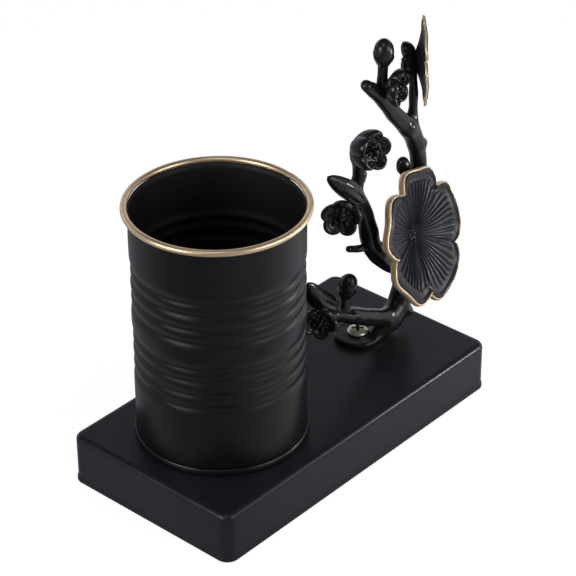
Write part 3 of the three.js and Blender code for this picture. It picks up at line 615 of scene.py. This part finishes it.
def limb_distance(points, line):
    """The distance |p - a - t (b - a)| - r to the nearest cone a to b of a tapered line, t being
    kept from 0 to 1 and r running evenly along it, and the way out."""
    start, end = line[:-1], line[1:]
    span = end[:, :3] - start[:, :3]
    t = ((points[:, None] - start[:, :3]) * span).sum(-1) / (span ** 2).sum(-1)
    t = np.clip(t, 0, 1)
    away = points[:, None] - start[:, :3] - t[..., None] * span
    length = np.linalg.norm(away, axis=-1)
    reach = length - start[:, 3] - t * (end[:, 3] - start[:, 3])
    nearest = reach.argmin(1)
    rows = np.arange(len(points))
    return reach[rows, nearest], away[rows, nearest] / np.maximum(length[rows, nearest], 1e-6)[:, None]


def foot_distance(points):
    """The distance to the foot, a disc with a rounded edge, and the way out."""
    radial = np.linalg.norm(points[:, :2], axis=1)
    middle, half = (FOOT_LOW + FOOT_HIGH) / 2, (FOOT_HIGH - FOOT_LOW) / 2
    out = radial - (FOOT_RADIUS - FOOT_EDGE)
    above = np.abs(points[:, 2] - middle) - (half - FOOT_EDGE)
    beyond = np.hypot(np.maximum(out, 0), np.maximum(above, 0))
    share_out = np.where(beyond > 0, np.maximum(out, 0) / np.maximum(beyond, 1e-6), out > above)
    share_up = np.where(beyond > 0, np.maximum(above, 0) / np.maximum(beyond, 1e-6), out <= above)
    slope = np.column_stack([points[:, :2] / np.maximum(radial, 1e-6)[:, None] * share_out[:, None],
                             share_up * np.sign(points[:, 2] - middle)])
    return np.where(beyond > 0, beyond, np.maximum(out, above)) - FOOT_EDGE, slope


def wood_distance(points, lines):
    """The limbs and the foot melted together: -k log(sum exp(-d / k)), k being MELT, with the
    slopes shared out in the same way, and crossed sine waves for the casting's unevenness."""
    parts = [limb_distance(points, line) for line in lines] + [foot_distance(points)]
    distance = np.stack([part[0] for part in parts])
    slope = np.stack([part[1] for part in parts])
    least = distance.min(0)
    weight = np.exp(-(distance - least) / MELT)
    total = weight.sum(0)
    x, y, z = points.T
    uneven = (np.sin(0.33 * x + 0.29 * z) * np.sin(0.5 * y + 0.21 * z + 1)
              + 0.5 * np.sin(0.5 * z + 0.31 * x + 2) * np.sin(0.62 * x - 0.9 * y))
    uneven *= UNEVEN * np.clip((z - 3) / 3, 0, 1)
    return least - MELT * np.log(total) + uneven, (weight[..., None] * slope).sum(0) / total[:, None]


def remeshed(shells, voxel):
    """The even skin of shells that run into each other, as one shell of four-cornered faces."""
    points, faces = gathered(shells)
    rough = bpy.data.meshes.new("rough")
    rough.from_pydata(points.tolist(), [], faces)
    holder = bpy.data.objects.new("rough", rough)
    bpy.context.scene.collection.objects.link(holder)
    remesh = holder.modifiers.new("skin", "REMESH")
    remesh.mode, remesh.voxel_size = "VOXEL", voxel
    even = bpy.data.meshes.new_from_object(holder.evaluated_get(bpy.context.evaluated_depsgraph_get()))
    places = np.empty(len(even.vertices) * 3)
    even.vertices.foreach_get("co", places)
    corners = np.empty(len(even.loops), np.int32)
    even.loops.foreach_get("vertex_index", corners)
    bpy.data.objects.remove(holder)
    bpy.data.meshes.remove(rough)
    bpy.data.meshes.remove(even)
    return places.reshape(-1, 3), [corners.reshape(-1, 4)]


def spindle(profile, around=40):
    """Turns (radius, height) about +Z, with both ends closed."""
    return ringed(turned(np.array(profile, float), around))


gloss_casting = enamel("gloss_black_enamel", (0.0065, 0.0065, 0.0075), (0.011, 0.011, 0.0125),
                       0.25, 0.1, 0.02, 700, 0.36, 0.07, 0.25)
wood_lines = [curved(stations, 5) for stations in limbs.values()]
disc = spindle([[FOOT_RADIUS - 0.4, FOOT_LOW], [FOOT_RADIUS, FOOT_LOW + 0.4],
                [FOOT_RADIUS, FOOT_HIGH - 0.4], [FOOT_RADIUS - 0.4, FOOT_HIGH]], 64)
wood_points, wood_faces = remeshed([tube(stations) for stations in limbs.values()] + [disc], VOXEL)
for _ in range(PULLS):
    gap, slope = wood_distance(wood_points, wood_lines)
    wood_points = wood_points - gap[:, None] * slope / np.maximum((slope ** 2).sum(1), 0.3)[:, None]
piece("cast_branch", [(wood_points + FOOT, wood_faces)], gloss_casting, "gloss_black_casting", "branch")


# Buds: small castings on stalks, in gloss black and soldered to the branch. Three petals wrap
# round each one, and a cup of sepals holds them.
def bud_shells(radius, height, wrap):
    """The outline r(z) is turned about +Z, and grows by a share of r to each wrapped petal's
    edge: r (1 - w / 2 + w f^3), f running from 0 to 1 between edges that lean with z. The cup's
    own outline is turned round it, with three low waves along its lip."""
    outline = curved([[0.35, 0], [0.7, 0.12], [0.96, 0.34], [1, 0.5], [0.86, 0.74], [0.52, 0.92],
                      [0.12, 1]])
    angle = circle(72)
    share, z = outline[:, 0, None], outline[:, 1, None]
    lean = np.mod(3 * angle[None, :] / (2 * np.pi) + 0.55 * z, 1)
    r = radius * share * (1 - wrap / 2 + wrap * lean ** 3 * np.clip(share * 1.5 - 0.3, 0, 1))
    body = ringed(grid(r * np.cos(angle), r * np.sin(angle), height * z))
    cup = curved([[0.5, -0.1], [0.68, 0.02], [0.93, 0.2], [1.0, 0.34], [0.97, 0.38], [0.6, 0.3]], 5)
    wave = 1 + 0.22 * np.cos(3 * angle + 0.8)[None, :] * np.clip(cup[:, 1, None] * 3, 0, 1)
    r = radius * cup[:, 0, None] * 1.02
    return [body, ringed(grid(r * np.cos(angle), r * np.sin(angle), height * cup[:, 1, None] * wave))]


def sprig(name, node, stalk, shells, at=(0, 0, 0), facing=(0, 0, 1), spin=0.0):
    """One small casting: its stalk, and its bud, blossom or leaf set on the end."""
    parts = [placed(tube(stalk))]
    parts += [placed(shell, at=at, facing=facing, spin=spin) for shell in shells]
    piece(name, parts, gloss_casting, "gloss_black_casting", node)


sprig("bud_on_crown", "crown_bud",
      [[4, -8.5, 122.3, 3.4], [3.8, -8.5, 129, 2.5], [4, -8.5, 134, 2.2], [4.2, -8.5, 139, 2.3]],
      bud_shells(4.4, 11.4, 0.04), (4.3, -8.5, 138.3), (0.03, 0, 1), 0.4)
sprig("bud_on_trunk", "trunk_bud",
      [[32.3, -7, 75.5, 2.2], [26.5, -6.8, 76, 1.5], [23, -6.6, 78.5, 1.6]],
      bud_shells(3.1, 8.4, 0.05), (22.4, -6.6, 77.4), (-0.15, 0, 1), 1.2)
sprig("bud_on_twig", "low_bud",
      [[-20.4, -9.5, 25, 3], [-20.2, -9.5, 30, 2.3], [-19.8, -9.5, 36.8, 2.4]],
      bud_shells(4.3, 10.9, 0.14), (-20, -9.4, 35.4), (0.17, -0.14, 1), 0.9)


# Blossoms: five thick cupped petals round a tuft of stamens, over a round calyx. Each is cast in
# one with its stalk, in gloss black, and soldered to the branch.
PETALS = 5
CURVE_STEPS, LIP_STATION = 5, 9


def balls(centres, radius, around=8, rings=6):
    """Small spheres at given places."""
    points, faces = spindle(arc((0, 0), radius, -80, 80, rings), around)
    return [(points + centre, faces) for centre in centres]


def blossom_shells(radius, deep=1.0):
    """The profile [R, z, w] is turned about +Z to the radius r R (1 - 0.21 w (1 - lobe)), slightly
    oval, and the height r (d z + 0.14 w (lobe - 0.5)), where lobe = |cos(2.5 a)|^0.75 and d is the
    depth. Past the lip each petal dips, with fine ribs down to a pistil and a ring of stamens."""
    profile = curved([[0.14, -1.06, 0], [0.34, -1.04, 0.1], [0.58, -0.97, 0.4], [0.8, -0.83, 0.8],
                      [0.94, -0.6, 1], [1, -0.34, 1], [1.01, -0.1, 1], [0.97, 0.05, 1], [0.9, 0.1, 1],
                      [0.82, 0.07, 1], [0.75, -0.03, 0.95], [0.64, -0.12, 0.9], [0.5, -0.18, 0.75],
                      [0.37, -0.22, 0.5], [0.25, -0.24, 0.2], [0.12, -0.25, 0.1]], CURVE_STEPS)
    angle = circle(160)[None, :]
    share, height, weight = (profile[:, column, None] for column in range(3))
    lobe = np.abs(np.cos(PETALS / 2 * angle)) ** 0.75
    inside = (np.arange(len(profile)) > LIP_STATION * CURVE_STEPS)[:, None]
    ribs = 0.03 * np.cos(10 * angle) * np.exp(-((share - 0.48) / 0.2) ** 2) * inside
    roll = 0.035 * np.exp(-((share - 0.68) / 0.04) ** 2) * inside
    dip = -0.08 * lobe * np.exp(-((share - 0.58) / 0.14) ** 2) * inside
    uneven = 1 + 0.03 * np.sin(angle * 2 + radius)
    reach = radius * share * (1 - 0.21 * weight * (1 - lobe)) * uneven
    rise = radius * (deep * height + weight * 0.14 * (lobe - 0.5) + ribs + roll + dip)
    cup = ringed(grid(reach * np.cos(angle), reach * np.sin(angle), rise))
    ring = circle(6)
    tips = grid(0.3 * np.cos(ring), 0.3 * np.sin(ring), -0.06 + 0.04 * np.cos(3 * ring)) * radius
    feet = tips * [0.6, 0.6, 0] + [0, 0, -0.4 * radius]
    threads = [tube([[*foot, 0.06 * radius], [*((foot + tip) / 2), 0.05 * radius],
                     [*tip, 0.05 * radius]], 8, 3) for foot, tip in zip(feet, tips)]
    pistil = tube([[0, 0, -0.4 * radius, 0.12 * radius], [0, 0, -0.2 * radius, 0.08 * radius],
                   [0, 0, 0.04 * radius, 0.11 * radius]], 12, 4)
    return [cup, pistil] + threads + balls(tips, 0.1 * radius)


sprig("blossom_on_crown", "crown_blossom",
      [[8.8, -8.5, 119.2, 2.6], [7.5, -9.8, 123, 3], [5.0, -11.4, 128, 3.4]],
      blossom_shells(8.7, 0.62), (6.4, -16.9, 128.9), (0.3, -0.95, -0.05), 0.62)
sprig("blossom_behind_flower", "top_blossom", [[22.8, -8.5, 131.5, 1.6], [22.3, -8, 132, 1.6]],
      blossom_shells(8.1, 0.6), (20.8, -6.3, 133.2), (-0.664, 0.748, 0), 0.4)
sprig("blossom_on_bough", "bough_blossom",
      [[-12, -9.7, 90.5, 2.9], [-12, -9.7, 97, 3.1], [-12.6, -10.2, 101.5, 4.2],
       [-12.1, -10.3, 105.6, 4.6]],
      blossom_shells(9.2), (-12.3, -18.5, 107.0), (-0.024, -0.984, 0.174))
sprig("blossom_beside_bough", "side_blossom",
      [[-8.9, -9.5, 76, 2.8], [-15, -9.8, 79.5, 2.9], [-27.5, -13.2, 80.8, 3.4]],
      blossom_shells(9.0, 0.5), (-30.1, -15.0, 80.5), (-0.808, -0.578, -0.085), 0.55)
sprig("blossom_on_twig", "low_blossom",
      [[-24.5, -9.6, 28, 2.8], [-29, -9.8, 29.8, 2.8], [-34, -10.2, 31.6, 2.8], [-40.0, -12.1, 33.8, 3]],
      blossom_shells(8.0, 0.5), (-42.6, -14.0, 33.5), (-0.808, -0.578, -0.085), 0.2)


# Leaves: thick pointed castings in gloss black, each on a short stalk soldered to the branch.
# A groove runs along the middle, with low veins across it, and the root is fluted.
LEAF_ACROSS = (0.6, -0.4, 0.7)


def leaf_shells(stations, across, width, thickness):
    """Rings u = cos b, v = sin b round a curved line: line + across h u
    + over (h fold(u) + v t (1.15 - u^4)^0.5 / 2). The half width h follows
    sin(pi s^0.78)^0.5, s being the share of the length."""
    line = curved(stations, 14)
    share = np.linspace(0, 1, len(line))
    along = unit(np.gradient(line, axis=0))
    wide = np.array(across, float)
    wide = unit(wide - along * (along @ wide)[:, None])
    over = np.cross(along, wide)
    swell = np.clip(np.sin(np.pi * share ** 0.78), 0.001, 1) ** 0.5
    half_width = (width / 2 * np.maximum(swell, 0.05))[:, None]
    thick = (thickness * np.maximum(swell, 0.3))[:, None]
    vein = 0.05 * np.sin(np.arange(len(line)) * 1.25)[:, None]
    root = np.clip(1.3 - 1.8 * share, 0, 1)[:, None]
    u, v = np.cos(circle(60))[None, :], np.sin(circle(60))[None, :]
    fold = (0.36 * u ** 2 - 0.16 + vein * np.abs(u) * (1 - u ** 2)
            - 0.16 * root * np.cos(3 * np.pi * u))
    lift = half_width * fold + v * thick / 2 * np.sqrt(np.clip(1 - u ** 4, 0, 1) + 0.15)
    return [ringed(line[:, None] + wide[:, None] * (half_width * u)[..., None]
                   + over[:, None] * lift[..., None])]


sprig("leaf_on_bough", "bough_leaf",
      [[-11.5, -9.5, 80, 2], [-15, -14.2, 83.5, 1.8], [-19, -15.2, 87, 1.6]],
      leaf_shells([[-14.6, -14.4, 81.8], [-26.3, -15.2, 93.2], [-36, -12.6, 102.7]],
                  LEAF_ACROSS, 9.0, 3.4))
sprig("leaf_on_twig", "low_leaf",
      [[-24.8, -9.6, 28, 2.2], [-27, -9, 34, 2], [-29.8, -8.8, 37, 1.8]],
      leaf_shells([[-25.6, -9, 31.5], [-36.2, -9, 40.4], [-44, -8.5, 52.8]], LEAF_ACROSS, 9.8, 3.6))
sprig("small_leaf_on_bough", "small_leaf",
      [[-3, -9.3, 53.5, 2.2], [-9, -9.5, 54.6, 1.7], [-13, -9.5, 56, 1.6], [-18, -9.5, 58.2, 1.5]],
      leaf_shells([[-8, -9.5, 54.4], [-13.5, -9.5, 56.5], [-19.5, -9.5, 59]], (0, -1, 0.2), 4.6, 2.6))


# Large flowers: shallow five-petalled castings in charcoal black. Raised veins fan out from a
# sunken eye and stop short of a rolled lip, and the outer edge is painted gold. A rivet, whose
# head is the tuft of stamens, holds each flower to its boss on the branch.
VEINS, RIM_POINTS = 9, 720
LIP_AT, GOLD_ROOM = 0.965, 0.6
charcoal = Finish(bpy.data.materials.new("charcoal_enamel"))
mist = charcoal.noise(90, 4)
crest = charcoal.marked("crest")
# Vein crests and the lip, marked "crest", are painted lighter in colour: a painted highlight. They are
# also glossier.
charcoal_color = charcoal.mixed(charcoal.clamped(mist * 0.5 + crest * 0.5),
                                (0.009, 0.009, 0.012, 1), (0.025, 0.0245, 0.032, 1))
charcoal_enamel = charcoal.surface(Base_Color=charcoal_color, Specular_IOR_Level=0.31,
                                   Roughness=0.46 - crest * 0.36 + (mist - 0.5) * 0.08,
                                   Normal=charcoal.bump(charcoal.noise(1600, 3), 0.01 * MM))
gold_edge = golden("gold_edge_paint", 0.5, 0.68)


def across_petal(angle):
    """How far an angle is from its petal's middle line, from -1 to 1."""
    turn = angle * PETALS / (2 * np.pi)
    return (turn - np.round(turn)) * 2


def peak(distance, width):
    """A smooth hump, exp(-(distance / width)^2)."""
    return np.exp(-(distance / width) ** 2)


def flower(side, form, at, facing, spin):
    """The radius at a share s of the way out is s ((1 - s) notch + s edge), with
    edge = notch + (lobe - gold - notch) (1 - x^4), x across the petal, and a hump at each corner.
    The bowl's height is -funnel (1 - s)^1.8. Veins add ridges (1/2 + 1/2 cos)^1.9 that bend a
    little, a roll makes the lip, and a tube of full oval section round the edge is the gold."""
    lobe, notch, funnel, wall, eye, vein, lip, band = form
    angle = circle(RIM_POINTS)[None, :]
    x = across_petal(angle)
    arch = 1 - np.abs(x) ** 3
    edge = (notch + (lobe - GOLD_ROOM - notch) * (1 - np.abs(x) ** 4) - 0.8 * lip * peak(x, 0.3)
            + 0.8 * lip * peak(np.abs(x) - 0.58, 0.2) + 1.2 * lip * np.cos(angle + 1.3))
    ruffle = 0.8 * lip * x * np.abs(x) ** 3 + 0.35 * lip * np.cos(2 * np.pi * x)

    def row(share, height):
        """One or more rings of the flower, at shares of the way out."""
        radius = share * (notch * (1 - share) + edge * share)
        return grid(radius * np.cos(angle), radius * np.sin(angle), height)

    def ridges(share):
        """The veins across each petal, from 0 to 1."""
        bent = x + 0.1 * np.sin(np.pi * x) * share
        return (0.5 + 0.5 * np.cos(np.pi * VEINS * bent)) ** 1.9

    share = np.concatenate([np.linspace(0.13, 0.8, 44), np.linspace(0.81, 1, 20)])[:, None]
    bowl = -funnel * (1 - share) ** 1.8 - wall * 0.25 + ruffle * share ** 4
    crown = arch * 0.9 * lip * share ** 2
    fold = -1.6 * lip * peak(np.abs(x) - 1, 0.08) * share * (1 - share) ** 0.5
    ridge = ridges(share)
    reach = 0.85 - 0.04 * x ** 2
    start = np.clip((share - 0.14) / 0.1, 0, 1)
    stop = 1 / (1 + np.exp((share - reach) / 0.012))
    veins = vein * (ridge - 0.4) * start * stop * (0.6 + 0.4 * share)
    veins += 0.5 * vein * ridge ** 2 * peak(share - reach, 0.014)
    sink = -2 * lip * np.exp(-(share / 0.175) ** 4)
    front = row(share, bowl + crown + fold + veins + lip * peak(share - LIP_AT, 0.03) + sink)

    behind = np.linspace(0.14, 0.985, 26)[:, None]
    hollows = (0.35 * vein * ridges(behind) * np.clip((behind - 0.2) / 0.1, 0, 1)
               * np.clip((0.8 - behind) / 0.06, 0, 1))
    back = row(behind, -funnel * (1 - behind) ** 1.8 - wall + arch * 0.5 * lip * behind ** 2 - hollows)
    side_wall = row(np.array([[1.0], [1.0]]), np.array([[-wall * 0.75], [-wall * 0.2]]) + ruffle)
    body = ringed(np.concatenate([back, side_wall, front[::-1]]))
    petals = piece(f"{side}_flower_petals", [placed(body, at=at, facing=facing, spin=spin)],
                   charcoal_enamel, "satin_black_casting", f"{side}_flower")
    # Painted highlight: the vein crests near the eye, and the lip, are marked to be lighter in the
    # charcoal enamel's colour.
    crest_highlight = (ridge * start * stop * np.clip(1.35 - 1.4 * share, 0, 1)
            + peak(share - LIP_AT, 0.02) * 0.4)[::-1]
    shine = np.zeros(len(body[0]))
    shine[-crest_highlight.size - 2:-2] = np.clip(crest_highlight, 0, 1).ravel() ** 0.5
    mark(petals, "crest", shine)

    turn = circle(14)[:, None]
    out, high = (np.abs(wave) ** 0.9 * np.sign(wave) for wave in (np.cos(turn), np.sin(turn)))
    beyond = edge + 0.12 + out * 0.8 * lip
    rim = grid(beyond * np.cos(angle), beyond * np.sin(angle),
               -wall * 0.62 - 0.15 * band + high * band + ruffle + 0.45 * lip * arch)
    piece(f"{side}_flower_gold_edge",
          [placed(ringed(rim, loop=True), at=at, facing=facing, spin=spin)], gold_edge, "gold")

    head = spindle(curved([[0.3, -1.2 * wall], [1.1, -1.1 * wall], [1.15, -0.3], [eye * 0.3, -0.2],
                           [eye * 0.36, 0.1], [eye * 0.26, eye * 0.1], [eye * 0.08, eye * 0.13]], 4))
    ring = circle(11)
    tips = grid(0.64 * np.cos(ring), 0.64 * np.sin(ring), 0.1 + 0.06 * np.cos(4 * ring)) * eye
    heart = grid(0.14 * np.cos(ring[::3]), 0.14 * np.sin(ring[::3]), 0.22) * eye
    shells = [head] + balls(tips, eye * 0.12, 10, 7) + balls(heart, eye * 0.1, 10, 7)
    shells = [placed((points + [0, 0, -funnel], faces), at=at, facing=facing, spin=spin)
              for points, faces in shells]
    piece(f"{side}_flower_heart", shells, gloss_casting, "gloss_black_casting", f"{side}_stamens")


flower("lower", (30.6, 24.6, 6.8, 1.7, 4.6, 1.05, 0.9, 1.6), (16.5, -23.5, 55.4),
       (0.174, -0.936, 0.308), 0.206)
flower("upper", (19.6, 15.8, 5.2, 1.0, 3.2, 0.45, 0.35, 0.42), (26.9, -13.2, 133),
       (0.664, -0.748, 0.02), 0.3)
